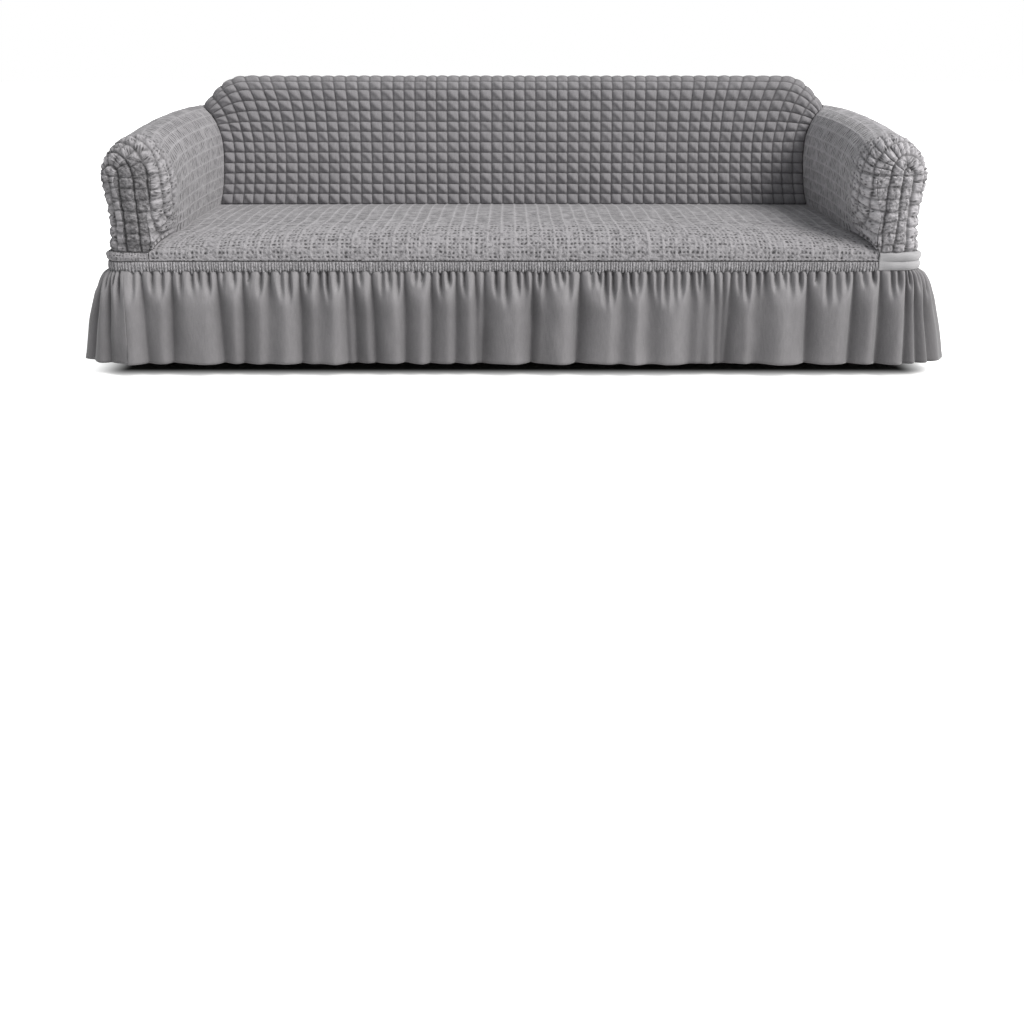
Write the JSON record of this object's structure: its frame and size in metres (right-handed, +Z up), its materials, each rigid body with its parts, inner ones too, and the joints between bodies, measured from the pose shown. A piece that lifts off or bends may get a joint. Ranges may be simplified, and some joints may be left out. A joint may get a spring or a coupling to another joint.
{
  "type": "sofa slipcover",
  "caption": "Hollow stretch slipcover for a three-seat sofa with rolled arms: bubble-cloth back and arms, ribbed seat, shirred heading and gathered skirt.",
  "frame": {"origin": "underside of the cover's top, on the crest of the back at mid width, where the sofa's back holds it up", "axes": "+Z up, +X along the sofa to the right as seen from its front, -Y towards the front of the seat"},
  "size_m": [2.48, 0.976, 0.7502],
  "materials": {
    "bubble_cloth": "matt knitted bubble cloth",
    "stretched_bubble_cloth": "matt crinkled stretch cloth",
    "smooth_tape": "soft smooth tape",
    "skirt_cloth": "smooth matt polyester"
  },
  "bodies": {
    "root": {"inside_back": "bubble_cloth", "outside_back": "bubble_cloth", "seat_panel": "stretched_bubble_cloth", "arm_wrap_left": "stretched_bubble_cloth", "arm_wrap_right": "stretched_bubble_cloth", "arm_front_left": "bubble_cloth", "arm_front_right": "bubble_cloth", "band_left": "stretched_bubble_cloth", "band_right": "smooth_tape", "shirred_heading": "stretched_bubble_cloth", "shirred_heading_left": "stretched_bubble_cloth", "skirt_front": "skirt_cloth", "skirt_right": "skirt_cloth", "skirt_back": "skirt_cloth", "skirt_left": "skirt_cloth"}
  },
  "joints": []
}
